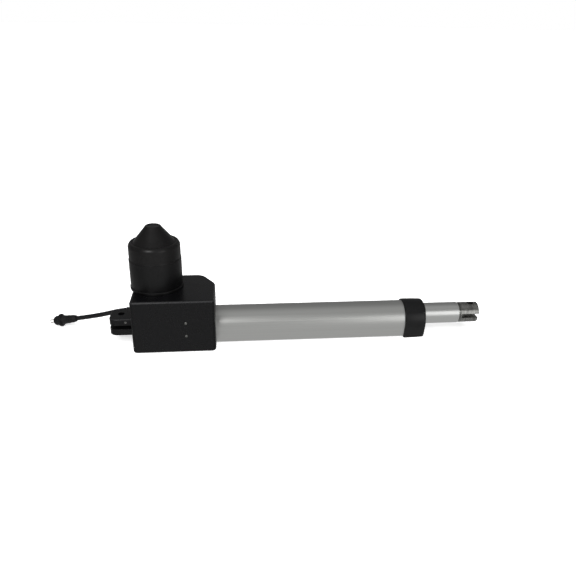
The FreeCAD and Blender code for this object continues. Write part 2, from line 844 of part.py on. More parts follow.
def supply_cord():
    """The cord as straight runs joined by tangent arcs, each as large as its runs allow."""
    points = [Vector(*point) for point in CORD_ROUTE]
    edges = []
    start = points[0]
    for before, corner, after in zip(points, points[1:], points[2:]):
        inward = (corner - before).normalize()
        onward = (after - corner).normalize()
        shorter = min((corner - before).Length, (after - corner).Length)
        turn = inward.getAngle(onward)
        radius = 0.45 * shorter / math.tan(turn / 2)
        into = corner - inward * 0.45 * shorter
        out = corner + onward * 0.45 * shorter
        middle = corner + (onward - inward).normalize() * (
            radius / math.cos(turn / 2) - radius
        )
        edges.append(Part.LineSegment(start, into).toShape())
        edges.append(Part.Arc(into, middle, out).toShape())
        start = out
    edges.append(Part.LineSegment(start, points[-1]).toShape())
    path = Part.Wire(edges)
    heading = points[1] - points[0]
    circle = Part.Wire(Part.Circle(points[0], heading, value("cord_radius")).toShape())
    tube = path.makePipeShell([circle], True, False)
    expected = math.pi * value("cord_radius") ** 2 * path.Length
    print(f"cord length {path.Length:.1f} mm, volume ratio {tube.Volume / expected:.4f}")
    item = fresh("Part::Feature", "cord")
    item.Shape = tube
    return item


PLUG_TURN = Rotation(Vector(1, 0, 0), Vector(*PLUG_HEAD) - Vector(*CORD_ROUTE[-1]))
PLUG_TAIL = tuple(str(number) for number in CORD_ROUTE[-1])


def on_plug(points):
    """A body turned about the plug's own axis, from its tail towards its nose."""
    return place(turned(points, "H_Axis"), PLUG_TAIL, PLUG_TURN)


def plug_body():
    """Grip of the plug, widening from the cord to the collar."""
    return on_plug([
        ("0", "0"), ("0", "6.2"), ("2", "6.8"), ("11", "7.5"), ("19", "8"), ("25", "8.8"),
        ("29", "9.2"), ("29", "0"),
    ])


def plug_collar():
    return on_plug([
        ("29", "0"), ("29", "11.6"), ("29.8", "12.3"), ("33.2", "12.3"), ("34", "11.6"),
        ("34", "0"),
    ])


def plug_nose():
    return on_plug([
        ("34", "0"), ("34", "9.6"), ("41", "9"), ("44", "7.8"), ("45", "6.4"), ("45", "0"),
    ])


def plug_pins():
    """Two contact pins that stand out of the plug's nose."""
    pins = []
    for side in (-2.5, 2.5):
        pin = fresh("Part::Cylinder", "pin")
        bind(pin, "Radius", "1")
        bind(pin, "Height", "11")
        start = Vector(*CORD_ROUTE[-1]) + PLUG_TURN.multVec(Vector(45, 0, side))
        place(pin, [f"{number:.4f}" for number in start], PLUG_TURN.multiply(ALONG_X))
        pins.append(pin)
    return group(pins)


SUB_PARTS = [
    gearbox_housing, bottom_cover, bottom_cover_screws, rear_clevis, clevis_bolts,
    clevis_set_screw, rear_screw_bearing, front_screw_bearing, worm_shaft_bearings,
    motor_mount_plate, motor_mount_screws, motor_can, motor_magnets, brush_end_bell,
    brush_holder, carbon_brushes, cover_base_ring, motor_cover, motor_hood,
    terminal_board, terminal_block, board_spacers, board_screws,
    outer_tube, body_screws, rear_buffer, stop_tube, guide_bush, wiper_seal, end_cap,
    end_cap_screws, cable_gland, supply_cord, plug_body, plug_collar, plug_nose, plug_pins,
    motor_shaft, armature_core, armature_windings, commutator, worm,
    lead_screw, worm_wheel, wheel_key, wheel_circlip, screw_end_guide,
    drive_nut, nut_grub_screws, inner_tube, fork_end,
]

finished = []
for build in SUB_PARTS:
    item = build()
    item.Label = build.__name__
    finished.append(item)
doc.recompute()

for item in doc.Objects:
    if "Invalid" in item.State or "Error" in item.State:
        raise RuntimeError(f"{item.Name} ({item.Label}) did not rebuild: {item.State}")
os.makedirs("parts", exist_ok=True)
for item in finished:
    shape = item.Shape
    if shape.isNull() or not shape.isValid():
        raise RuntimeError(f"{item.Label} has no valid shape")
    shape.exportStep(f"parts/{item.Label}.step")
    box = shape.BoundBox
    print(f"{item.Label}: {len(shape.Solids)} solids, {shape.Volume / 1000:.2f} cm3, "
          f"z {box.ZMin:.1f} to {box.ZMax:.1f}")
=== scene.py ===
import json
import math

import bmesh
import bpy
from mathutils import Matrix, Vector


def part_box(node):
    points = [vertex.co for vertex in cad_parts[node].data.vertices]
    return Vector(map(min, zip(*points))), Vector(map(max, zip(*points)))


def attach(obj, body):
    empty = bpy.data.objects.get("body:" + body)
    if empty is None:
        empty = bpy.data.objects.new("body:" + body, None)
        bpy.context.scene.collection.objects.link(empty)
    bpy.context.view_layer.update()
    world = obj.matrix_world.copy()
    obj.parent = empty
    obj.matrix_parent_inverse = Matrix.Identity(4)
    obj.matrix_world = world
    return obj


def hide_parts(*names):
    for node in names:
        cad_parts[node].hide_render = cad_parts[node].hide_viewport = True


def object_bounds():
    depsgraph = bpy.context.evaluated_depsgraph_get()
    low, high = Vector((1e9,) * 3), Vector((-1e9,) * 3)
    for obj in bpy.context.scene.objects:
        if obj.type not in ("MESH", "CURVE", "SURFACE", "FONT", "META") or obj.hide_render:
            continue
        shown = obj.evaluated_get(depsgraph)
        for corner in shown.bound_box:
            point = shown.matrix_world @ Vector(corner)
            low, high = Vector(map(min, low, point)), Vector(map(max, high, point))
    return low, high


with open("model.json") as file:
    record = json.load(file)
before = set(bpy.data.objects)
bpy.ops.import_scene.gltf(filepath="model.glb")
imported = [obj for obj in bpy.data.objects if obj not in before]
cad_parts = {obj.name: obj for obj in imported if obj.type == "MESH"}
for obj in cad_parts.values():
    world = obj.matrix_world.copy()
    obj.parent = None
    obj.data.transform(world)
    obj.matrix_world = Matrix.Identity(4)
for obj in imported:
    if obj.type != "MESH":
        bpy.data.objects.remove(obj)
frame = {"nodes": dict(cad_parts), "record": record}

cad_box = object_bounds()
MM = 0.001

nodes = frame["nodes"]


# ---------------------------------------------------------------- places, read from the frame

def middle(node):
    """The centre of a CAD node's box."""
    low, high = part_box(node)
    return (low + high) / 2


def reach(node):
    """Half of each side of a CAD node's box."""
    low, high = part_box(node)
    return (high - low) / 2


# ---------------------------------------------------------------- camera, lights and floor

CAMERA_AT = Vector((0.205, -1.0498, 0.5293))
CAMERA_YAW = math.radians(5.67)
CAMERA_PITCH = math.radians(23.97)
CAMERA_ROLL = math.radians(0.87)
CAMERA_LENS = 38.65


def add_camera():
    """The camera looks down at the object from the front, a little towards its fork end."""
    ahead = Vector((
        math.sin(CAMERA_YAW) * math.cos(CAMERA_PITCH),
        math.cos(CAMERA_YAW) * math.cos(CAMERA_PITCH),
        -math.sin(CAMERA_PITCH),
    ))
    level = Vector((math.cos(CAMERA_YAW), -math.sin(CAMERA_YAW), 0))
    upright = level.cross(ahead)
    right = level * math.cos(CAMERA_ROLL) + upright * math.sin(CAMERA_ROLL)
    up = right.cross(ahead)
    camera = bpy.data.objects.new("camera", bpy.data.cameras.new("camera"))
    camera.data.sensor_width = 36
    camera.data.lens = CAMERA_LENS
    camera.data.clip_start = 0.05
    camera.data.clip_end = 100
    turn = Matrix((right, up, -ahead)).transposed()
    camera.matrix_world = Matrix.Translation(CAMERA_AT) @ turn.to_4x4()
    bpy.context.collection.objects.link(camera)
    bpy.context.scene.camera = camera


def add_light(name, kind, azimuth, elevation, distance=2.0):
    """A lamp that points at the object. Azimuth 0 is the camera's side."""
    data = bpy.data.lights.new(name, kind)
    light = bpy.data.objects.new(name, data)
    turn, rise = math.radians(azimuth), math.radians(elevation)
    towards = Vector((
        math.sin(turn) * math.cos(rise), -math.cos(turn) * math.cos(rise), math.sin(rise)
    ))
    light.location = (cad_box[0] + cad_box[1]) / 2 + towards * distance
    light.rotation_mode = "QUATERNION"
    light.rotation_quaternion = towards.to_track_quat("Z", "Y")
    light.visible_camera = False
    bpy.context.collection.objects.link(light)
    return light


def add_softbox(name, azimuth, elevation, wide, tall, radiance):
    """A soft rectangular light of an even radiance."""
    light = add_light(name, "AREA", azimuth, elevation)
    light.data.shape = "RECTANGLE"
    light.data.size = wide
    light.data.size_y = tall
    light.data.energy = radiance * math.pi * wide * tall


# How far the backdrop reaches round the object. The floor goes a little further.
STAGE_REACH = 30
FLOOR_GLOW = 0.65


def add_floor():
    """A pale floor that glows like a light table. It is left out of reflections, so that the
    room alone shapes them."""
    bm = bmesh.new()
    bmesh.ops.create_circle(bm, cap_ends=True, radius=STAGE_REACH + 2, segments=64)
    bmesh.ops.translate(bm, verts=bm.verts, vec=(0, 0, cad_box[0].z))
    mesh = bpy.data.meshes.new("floor")
    bm.to_mesh(mesh)
    bm.free()
    floor = bpy.data.objects.new("floor", mesh)
    bpy.context.collection.objects.link(floor)
    paper = Material("floor_paper", (0.9, 0.9, 0.9), roughness=0.9, specular=0.05)
    paper.bump(paper.noise(400, detail=2), strength=0.02, depth=0.1 * MM)
    paper.glow(FLOOR_GLOW)
    mesh.materials.append(paper.data)
    floor.visible_glossy = False


def add_backdrop():
    """A white dome that only the camera sees."""
    bm = bmesh.new()
    bmesh.ops.create_uvsphere(bm, u_segments=48, v_segments=24, radius=STAGE_REACH)
    mesh = bpy.data.meshes.new("backdrop")
    bm.to_mesh(mesh)
    bm.free()
    mesh.shade_smooth()
    dome = bpy.data.objects.new("backdrop", mesh)
    bpy.context.collection.objects.link(dome)
    paint = Material("backdrop_white", (0, 0, 0), roughness=1, specular=0)
    paint.glow(1.0)
    mesh.materials.append(paint.data)
    for kind in ("glossy", "diffuse", "shadow", "transmission"):
        setattr(dome, f"visible_{kind}", False)


# Heights in the room, from 0 straight down to 1 straight up, and the tone at each.
ROOM_TONES = [(0.46, 0.37), (0.53, 0.24), (0.90, 0.24), (1.0, 0.33)]
# The way to a dark cloth behind the object, which keeps its level black faces deep.
CLOTH_TOWARDS = (0, math.cos(math.radians(24)), math.sin(math.radians(24)))
# Where the shade of the cloth, and that at either side, begins and is full, as the cosine of
# the angle from its middle, and the part of the light that it leaves.
CLOTH_SHADE = (0.25, 0.95, 0.66)
SIDE_SHADE = (0.40, 0.95, 0.5)


def add_shade(tree, cosine, begins, full, leaves):
    """Shade that deepens smoothly, as a factor for the room's light."""
    made = tree.nodes.new("ShaderNodeMapRange")
    made.interpolation_type = "SMOOTHSTEP"
    made.inputs["From Min"].default_value = begins
    made.inputs["From Max"].default_value = full
    made.inputs["To Min"].default_value = 1.0
    made.inputs["To Max"].default_value = leaves
    tree.links.new(cosine, made.inputs["Value"])
    return made.outputs["Result"]


def add_room():
    """The room that the metal reflects: pale below, grey round about, lighter overhead,
    and darker behind the object and out to either side."""
    world = bpy.data.worlds.new("room")
    world.use_nodes = True
    tree = world.node_tree
    where = tree.nodes.new("ShaderNodeTexCoord")
    parts = tree.nodes.new("ShaderNodeSeparateXYZ")
    height = tree.nodes.new("ShaderNodeMapRange")
    height.inputs["From Min"].default_value = -1
    height.inputs["From Max"].default_value = 1
    shade = tree.nodes.new("ShaderNodeValToRGB")
    shade.color_ramp.interpolation = "EASE"
    ramp = shade.color_ramp.elements
    while len(ramp) < len(ROOM_TONES):
        ramp.new(1)
    for stop, (place, tone) in zip(ramp, ROOM_TONES):
        stop.position = place
        stop.color = (tone, tone, tone, 1)
    tree.links.new(where.outputs["Generated"], parts.inputs["Vector"])
    tree.links.new(parts.outputs["Z"], height.inputs["Value"])
    tree.links.new(height.outputs["Result"], shade.inputs["Fac"])
    cloth = tree.nodes.new("ShaderNodeVectorMath")
    cloth.operation = "DOT_PRODUCT"
    cloth.inputs[1].default_value = CLOTH_TOWARDS
    aside = tree.nodes.new("ShaderNodeMath")
    aside.operation = "ABSOLUTE"
    both = tree.nodes.new("ShaderNodeMath")
    both.operation = "MULTIPLY"
    tree.links.new(where.outputs["Generated"], cloth.inputs[0])
    tree.links.new(parts.outputs["X"], aside.inputs[0])
    tree.links.new(add_shade(tree, cloth.outputs["Value"], *CLOTH_SHADE), both.inputs[0])
    tree.links.new(add_shade(tree, aside.outputs["Value"], *SIDE_SHADE), both.inputs[1])
    tree.links.new(both.outputs["Value"], tree.nodes["Background"].inputs["Strength"])
    tree.links.new(shade.outputs["Color"], tree.nodes["Background"].inputs["Color"])
    bpy.context.scene.world = world
    bpy.context.scene.view_settings.view_transform = "Standard"


def add_stage():
    """Two softboxes shape the metal's shine, and a broad sun fills from overhead."""
    add_floor()
    add_backdrop()
    add_room()
    add_softbox("left_softbox", azimuth=-27, elevation=31, wide=0.7, tall=0.5, radiance=4.6)
    add_softbox("right_softbox", azimuth=35, elevation=14, wide=0.95, tall=1.2, radiance=1.0)
    sun = add_light("overhead_fill", "SUN", azimuth=0, elevation=60)
    sun.data.energy = 3.1
    sun.data.angle = math.radians(60)
    sun.visible_glossy = False


# ---------------------------------------------------------------- materials

class Material:
    """A node material built round one Principled shader."""

    def __init__(self, name, colour, metal=0.0, roughness=0.5, specular=0.5):
        self.data = bpy.data.materials.new(name)
        self.data.use_nodes = True
        self.tree = self.data.node_tree
        self.shader = self.tree.nodes["Principled BSDF"]
        self.shader.inputs["Base Color"].default_value = (*colour, 1)
        self.shader.inputs["Metallic"].default_value = metal
        self.shader.inputs["Roughness"].default_value = roughness
        self.shader.inputs["Specular IOR Level"].default_value = specular
        self.colour = colour
        self.roughness = roughness
        self.last_normal = None

    def glow(self, strength):
        """Gives off an even white light."""
        self.shader.inputs["Emission Color"].default_value = (1, 1, 1, 1)
        self.shader.inputs["Emission Strength"].default_value = strength

    def node(self, kind, **settings):
        made = self.tree.nodes.new(kind)
        for key, setting in settings.items():
            setattr(made, key, setting)
        return made

    def link(self, out, into):
        self.tree.links.new(out, into)

    def place(self, stretch=(1, 1, 1)):
        """Object coordinates, stretched along the axes."""
        where = self.node("ShaderNodeTexCoord")
        scale = self.node("ShaderNodeMapping")
        scale.inputs["Scale"].default_value = stretch
        self.link(where.outputs["Object"], scale.inputs["Vector"])
        return scale.outputs["Vector"]

    def noise(self, scale, detail=4, stretch=(1, 1, 1), rough=0.5):
        """Noise whose patches are about 1 / scale metres wide."""
        made = self.node("ShaderNodeTexNoise")
        made.inputs["Scale"].default_value = scale
        made.inputs["Detail"].default_value = detail
        made.inputs["Roughness"].default_value = rough
        self.link(self.place(stretch), made.inputs["Vector"])
        return made.outputs["Fac"]

    def wave(self, scale, direction, distortion=0.5):
        """Even bands across one axis."""
        made = self.node("ShaderNodeTexWave", bands_direction=direction)
        made.inputs["Scale"].default_value = scale
        made.inputs["Distortion"].default_value = distortion
        made.inputs["Detail"].default_value = 2
        self.link(self.place(), made.inputs["Vector"])
        return made.outputs["Fac"]

    def spread(self, source, low, high, from_low=0.3, from_high=0.7):
        """A pattern mapped to a range of values."""
        made = self.node("ShaderNodeMapRange")
        made.inputs["From Min"].default_value = from_low
        made.inputs["From Max"].default_value = from_high
        made.inputs["To Min"].default_value = low
        made.inputs["To Max"].default_value = high
        self.link(source, made.inputs["Value"])
        return made.outputs["Result"]

    def painted_highlight_edges(self):
        """1 on rounded upper edges, and 0 on level and upright faces: the mask of a painted
        highlight.
        """
        where = self.node("ShaderNodeTexCoord")
        parts = self.node("ShaderNodeSeparateXYZ")
        both = self.node("ShaderNodeMath", operation="MULTIPLY")
        self.link(where.outputs["Normal"], parts.inputs["Vector"])
        self.link(self.spread(parts.outputs["Z"], 0, 1, 0.15, 0.5), both.inputs[0])
        self.link(self.spread(parts.outputs["Z"], 1, 0, 0.75, 0.97), both.inputs[1])
        return both.outputs["Value"]

    def tint(self, source, dark, light):
        """The base colour runs between two colours with a pattern."""
        made = self.node("ShaderNodeMix", data_type="RGBA")
        made.inputs["A"].default_value = (*dark, 1)
        made.inputs["B"].default_value = (*light, 1)
        self.link(source, made.inputs["Factor"])
        self.link(made.outputs["Result"], self.shader.inputs["Base Color"])

    def vary_colour(self, source, change):
        """The base colour is darker and lighter by a part of itself, with a pattern."""
        dark = [channel * (1 - change) for channel in self.colour]
        light = [min(1, channel * (1 + change)) for channel in self.colour]
        self.tint(self.spread(source, 0, 1), dark, light)

    def vary_roughness(self, source, change):
        """The roughness is lower and higher by a fixed amount, with a pattern."""
        low, high = self.roughness - change, self.roughness + change
        self.link(self.spread(source, low, high), self.shader.inputs["Roughness"])

    def bump(self, source, strength, depth):
        """Adds relief; each call goes on top of the last one."""
        made = self.node("ShaderNodeBump")
        made.inputs["Strength"].default_value = strength
        made.inputs["Distance"].default_value = depth
        self.link(source, made.inputs["Height"])
        if self.last_normal is not None:
            self.link(self.last_normal, made.inputs["Normal"])
        self.last_normal = made.outputs["Normal"]
        self.link(self.last_normal, self.shader.inputs["Normal"])


def cast_paint():
    """Satin black paint over a die casting: faint orange peel, cloudy gloss, and a painted
    highlight that makes the rounded upper edges a little greyer."""
    made = Material("cast_paint", (0.0022, 0.0022, 0.0026), roughness=0.28, specular=0.37)
    cloud = made.noise(35, detail=3)
    # Painted highlight: the rounded upper edges are tinted lighter, standing in for the lamps'
    # shine on them.
    made.tint(made.painted_highlight_edges(), made.colour, (0.020, 0.020, 0.021))
    made.vary_roughness(cloud, 0.05)
    made.bump(made.noise(700, detail=2), strength=0.04, depth=0.08 * MM)
    made.bump(made.noise(60, detail=2), strength=0.08, depth=0.4 * MM)
    return made.data


def moulded_black():
    """Black plastic with the fine grain of a spark-eroded mould."""
    made = Material("moulded_black", (0.0030, 0.0030, 0.0032), roughness=0.36, specular=0.42)
    cloud = made.noise(28, detail=3)
    made.vary_colour(cloud, 0.2)
    made.vary_roughness(cloud, 0.05)
    made.bump(made.noise(1600, detail=3), strength=0.35, depth=0.08 * MM)
    return made.data


def soft_black():
    """Black moulding, a little lighter and warmer than the hard plastic."""
    made = Material("soft_black", (0.0036, 0.0033, 0.0033), roughness=0.35, specular=0.45)
    cloud = made.noise(40, detail=4)
    made.vary_colour(cloud, 0.2)
    made.vary_roughness(cloud, 0.06)
    made.bump(made.noise(1300, detail=3), strength=0.3, depth=0.07 * MM)
    return made.data


def anodised():
    """Satin anodised aluminium profile with fine drawing lines along its length."""
    made = Material("anodised", (0.85, 0.856, 0.832), metal=1.0, roughness=0.38)
    lines = made.noise(40, detail=3, stretch=(0.02, 30, 30))
    specks = made.noise(1500, detail=2)
    made.vary_colour(lines, 0.035)
    made.vary_roughness(lines, 0.035)
    made.bump(lines, strength=0.12, depth=0.04 * MM)
    made.bump(specks, strength=0.12, depth=0.03 * MM)
    return made.data


def bright_tube():
    """Ground and plated tube: smooth, with faint rings from the grinding."""
    made = Material("bright_tube", (0.90, 0.91, 0.89), metal=1.0, roughness=0.33)
    rings = made.noise(60, detail=3, stretch=(30, 0.4, 0.4))
    made.vary_roughness(rings, 0.035)
    made.vary_colour(rings, 0.02)
    made.bump(rings, strength=0.08, depth=0.03 * MM)
    return made.data


def bright_steel():
    """Zinc-plated steel with an uneven, streaky shine."""
    made = Material("bright_steel", (0.34, 0.34, 0.325), metal=1.0, roughness=0.22)
    streaks = made.noise(50, detail=4, stretch=(6, 1, 1), rough=0.6)
    made.vary_colour(streaks, 0.5)
    made.vary_roughness(made.noise(160, detail=4), 0.08)
    made.bump(made.noise(220, detail=3), strength=0.35, depth=0.4 * MM)
    made.bump(streaks, strength=0.3, depth=0.4 * MM)
    return made.data


def turned_steel():
    """Turned steel with tool lines round the screw's axis."""
    made = Material("turned_steel", (0.5, 0.5, 0.49), metal=1.0, roughness=0.3)
    rings = made.noise(80, detail=3, stretch=(25, 1, 1))
    made.vary_colour(rings, 0.05)
    made.vary_roughness(rings, 0.06)
    made.bump(rings, strength=0.15, depth=0.05 * MM)
    return made.data


def motor_zinc():
    """Zinc-plated sheet with a soft spangle."""
    made = Material("motor_zinc", (0.52, 0.52, 0.5), metal=1.0, roughness=0.38)
    spangle = made.node("ShaderNodeTexVoronoi")
    spangle.inputs["Scale"].default_value = 160
    made.link(made.place(), spangle.inputs["Vector"])
    made.vary_colour(spangle.outputs["Distance"], 0.12)
    made.vary_roughness(made.noise(90), 0.06)
    made.bump(made.noise(500), strength=0.1, depth=0.05 * MM)
    return made.data


def fastener_steel():
    """Oiled dark steel of the socket-head screws."""
    made = Material("fastener_steel", (0.16, 0.16, 0.165), metal=1.0, roughness=0.34)
    patches = made.noise(300, detail=4)
    made.vary_colour(patches, 0.25)
    made.vary_roughness(patches, 0.08)
    made.bump(made.noise(1200), strength=0.2, depth=0.04 * MM)
    return made.data


def bronze():
    """Sintered bearing bronze."""
    made = Material("bronze", (0.58, 0.37, 0.15), metal=1.0, roughness=0.33)
    patches = made.noise(120, detail=4)
    made.vary_colour(patches, 0.12)
    made.vary_roughness(patches, 0.08)
    made.bump(made.noise(700), strength=0.15, depth=0.05 * MM)
    return made.data


def copper():
    """Enamelled copper turns."""
    made = Material("copper", (0.62, 0.27, 0.12), metal=1.0, roughness=0.3)
    turns = made.wave(420, "Z", distortion=1.5)
    made.vary_colour(turns, 0.25)
    made.vary_roughness(made.noise(150), 0.06)
    made.bump(turns, strength=0.5, depth=0.2 * MM)
    return made.data


def ferrite():
    """Dull grey magnet ceramic."""
    made = Material("ferrite", (0.035, 0.035, 0.038), roughness=0.62, specular=0.4)
    grain = made.noise(600, detail=5)
    made.vary_colour(grain, 0.3)
    made.vary_roughness(grain, 0.08)
    made.bump(grain, strength=0.3, depth=0.1 * MM)
    return made.data


def white_plastic():
    """Natural acetal, slightly milky."""
    made = Material("white_plastic", (0.76, 0.75, 0.70), roughness=0.42, specular=0.45)
    cloud = made.noise(45, detail=3)
    made.vary_colour(cloud, 0.03)
    made.vary_roughness(cloud, 0.05)
    made.bump(made.noise(800), strength=0.12, depth=0.05 * MM)
    made.shader.inputs["Subsurface Weight"].default_value = 0.1
    made.shader.inputs["Subsurface Scale"].default_value = 0.002
    return made.data


def board_green():
    """Laminate with the weave of its glass cloth."""
    made = Material("board_green", (0.03, 0.14, 0.055), roughness=0.4, specular=0.5)
    weave = made.wave(700, "X", distortion=0.2)
    cross = made.wave(700, "Z", distortion=0.2)
    made.vary_colour(made.noise(90), 0.15)
    made.bump(weave, strength=0.15, depth=0.04 * MM)
    made.bump(cross, strength=0.15, depth=0.04 * MM)
    return made.data


def cord_black():
    """The cord's jacket and the plug's grip: smooth black vinyl."""
    made = Material("cord_black", (0.006, 0.006, 0.0063), roughness=0.42, specular=0.36)
    cloud = made.noise(120, detail=3)
    made.vary_colour(cloud, 0.2)
    made.vary_roughness(cloud, 0.06)
    made.bump(made.noise(900, detail=2), strength=0.15, depth=0.06 * MM)
    return made.data


def plated_brass():
    """Brass under a thin, pale plating."""
    made = Material("plated_brass", (0.62, 0.56, 0.42), metal=1.0, roughness=0.25)
    patches = made.noise(400)
    made.vary_colour(patches, 0.08)
    made.vary_roughness(patches, 0.05)
    made.bump(made.noise(1500), strength=0.1, depth=0.03 * MM)
    return made.data


FINISHES = {
    "black_casting": cast_paint(),
    "black_plastic": moulded_black(),
    "soft_black": soft_black(),
    "anodised": anodised(),
    "bright_tube": bright_tube(),
    "bright_steel": bright_steel(),
    "turned_steel": turned_steel(),
    "motor_zinc": motor_zinc(),
    "fastener_steel": fastener_steel(),
    "bronze": bronze(),
    "copper": copper(),
    "ferrite": ferrite(),
    "white_plastic": white_plastic(),
    "board": board_green(),
    "cord_black": cord_black(),
    "plated_brass": plated_brass(),
}
SLOT_OF = {part["node"]: part["material_slot"] for part in frame["record"]["subparts"]}
BODY_OF = {node: body
           for body, held in frame["record"]["behaviour"]["bodies"].items() for node in held}


def paint_cad_nodes():
    """Every CAD node takes the finish of its own material slot."""
    for name, item in nodes.items():
        item.data.materials.clear()
        item.data.materials.append(FINISHES[SLOT_OF[name]])


# ---------------------------------------------------------------- mesh tools

def rounded(corners, steps=6, closed=False):
    """An outline through corners (x, y, radius) in millimetres, with an arc at each corner
    that has a radius, as points in metres."""
    line = []
    for index, (x, y, radius) in enumerate(corners):
        here = Vector((x, y))
        is_end = not closed and index in (0, len(corners) - 1)
        if radius == 0 or is_end:
            line.append(here * MM)
            continue
        before = (Vector(corners[index - 1][:2]) - here).normalized()
        after = (Vector(corners[(index + 1) % len(corners)][:2]) - here).normalized()
        half = before.angle(after) / 2
        sweep = math.pi - 2 * half
        centre = here + (before + after).normalized() * (radius / math.sin(half))
        start = here + before * (radius / math.tan(half)) - centre
        end = here + after * (radius / math.tan(half)) - centre
        for step in range(steps + 1):
            part = step / steps
            arm = start * math.sin((1 - part) * sweep) + end * math.sin(part * sweep)
            line.append((centre + arm / math.sin(sweep)) * MM)
    return line


def bridge(bm, first, second):
    """Faces between two rings of vertices. A ring of one vertex is a pole."""
    if len(first) == len(second) == 1:
        return
    count = max(len(first), len(second))
    for side in range(count):
        after = (side + 1) % count
        corners = [
            first[side % len(first)], first[after % len(first)],
            second[after % len(second)], second[side % len(second)],
        ]
        bm.faces.new(list(dict.fromkeys(corners)))


def skin(rings, closed=False):
    """A bmesh over rings of points. A closed one joins its last ring to its first."""
    bm = bmesh.new()
    made = [[bm.verts.new(point) for point in ring] for ring in rings]
    for first, second in zip(made, made[1:]):
        bridge(bm, first, second)
    if closed:
        bridge(bm, made[-1], made[0])
    else:
        for ring in (made[0], made[-1]):
            if len(ring) > 1:
                bm.faces.new(ring)
    return bm


def plain_reach(radius, turn, height):
    """The same radius all round."""
    return radius


# A point of an outline that is nearer to the axis than this is a pole.
ON_AXIS = 0.01 * MM


def lathe(outline, sides=96, closed=False, reach_at=plain_reach):
    """A bmesh turned about Z from (radius, height) points. reach_at may change the radius
    with the angle and the height, for flutes and flats."""
    rings = []
    for radius, height in outline:
        if radius < ON_AXIS:
            rings.append([(0, 0, height)])
            continue
        ring = []
        for side in range(sides):
            turn = 2 * math.pi * side / sides
            out = reach_at(radius, turn, height)
            ring.append((out * math.cos(turn), out * math.sin(turn), height))
        rings.append(ring)
    return skin(rings, closed)


def upright(x, y, z):
    """A place whose Z stays Z."""
    return Matrix.Translation((x, y, z))


def lying(start, towards):
    """A place whose Z runs from a point in a direction."""
    turn = Vector(towards).to_track_quat("Z", "Y").to_matrix()
    return Matrix.Translation(start) @ turn.to_4x4()


def as_object(name, bm, place=None):
    """An object made from a bmesh, smooth all over."""
    if place is not None:
        bm.transform(place)
    bmesh.ops.recalc_face_normals(bm, faces=bm.faces)
    mesh = bpy.data.meshes.new(name)
    bm.to_mesh(mesh)
    bm.free()
    mesh.shade_smooth()
    made = bpy.data.objects.new(name, mesh)
    bpy.context.collection.objects.link(made)
    return made


def carve(piece, tools):
    """Cuts other objects out of a piece and removes them."""
    for tool in tools:
        made = piece.modifiers.new("cut", "BOOLEAN")
        made.object = tool
        made.solver = "EXACT"
    settle(piece)
    for tool in tools:
        bpy.data.objects.remove(tool)


def settle(piece):
    """Makes the result of a piece's modifiers its own mesh."""
    bpy.context.view_layer.update()
    graph = bpy.context.evaluated_depsgraph_get()
    mesh = bpy.data.meshes.new_from_object(piece.evaluated_get(graph))
    piece.modifiers.clear()
    piece.data = mesh


def sharpen(piece, angle=50):
    """Shades a piece smooth, but for the edges that turn by more than an angle."""
    piece.data.set_sharp_from_angle(angle=math.radians(angle))


def ease_edges(piece, width, angle=40):
    """Rounds a piece's hard edges by a width in millimetres and keeps its flat faces flat."""
    made = piece.modifiers.new("eased", "BEVEL")
    made.width = width * MM
    made.segments = 3
    made.limit_method = "ANGLE"
    made.angle_limit = math.radians(angle)
    made.miter_outer = "MITER_ARC"
    piece.modifiers.new("shading", "WEIGHTED_NORMAL")


def add_piece(piece, node):
    """A finished piece takes a CAD node's place, body and finish."""
    piece.data.materials.clear()
    piece.data.materials.append(FINISHES[SLOT_OF[node]])
    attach(piece, BODY_OF[node])
    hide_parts(node)
    return piece


def drill(radius, start, towards, length):
    """A round tool for carve, in metres, that starts at a point."""
    tool = lathe([(0, 0), (radius, 0), (radius, length), (0, length)], sides=48)
    return as_object("drill", tool, lying(start, towards))


def saw(low, high):
    """A square tool for carve, in metres, between two corners."""
    bm = bmesh.new()
    bmesh.ops.create_cube(bm, size=1)
    size = Vector(high) - Vector(low)
    place = Matrix.Translation((Vector(low) + Vector(high)) / 2) @ Matrix.Diagonal((*size, 1))
    return as_object("saw", bm, place)


# ---------------------------------------------------------------- motor cover

# Sides of the turned shells, which are all the same so that their edges match.
SHELL_SIDES = 128


def add_motor_hood():
    """The soft upper shell: a lip, a round shoulder, a valley and a cone with a dished top."""
    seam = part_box("motor_cover")[1].z
    centre = middle("motor_cover")
    wall = reach("motor_hood").x / MM
    tall = (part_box("motor_hood")[1].z - seam) / MM
    plateau, skirt, spigot = 30.6, -6.7, wall - 2.2
    proud = wall + 0.3
    lip = [(wall - 0.3, 0.1, 0), (proud, 0.1, 0.3), (proud, 0.9, 0.3), (wall, 1.9, 0.5)]
    shoulder = [(wall, 24.6, 9), (43.6, plateau, 4.2), (39.9, plateau, 0.8)]
    cone = [(39.2, 29.2, 0.8), (38.1, 29.6, 1.5), (16.0, 56.5, 3.4), (13.6, tall, 2.0)]
    dish = [(11.2, tall, 0.7), (10.2, tall - 1.0, 0.7), (0, tall - 1.2, 0)]
    inside = [
        (0, tall - 3.2, 0), (10.4, tall - 3.4, 2), (32.2, 32.5, 2), (34.6, 27.0, 2),
        (43.4, 24.0, 2), (43.4, skirt, 0.3), (spigot, skirt, 0.3), (spigot, 0.1, 0.3),
    ]
    outline = rounded(lip + shoulder + cone + dish + inside, steps=6)
    hood = as_object("motor_hood_shell", lathe(outline, sides=SHELL_SIDES, closed=True),
                     upright(centre.x, centre.y, seam))
    sharpen(hood)
    add_piece(hood, "motor_hood")


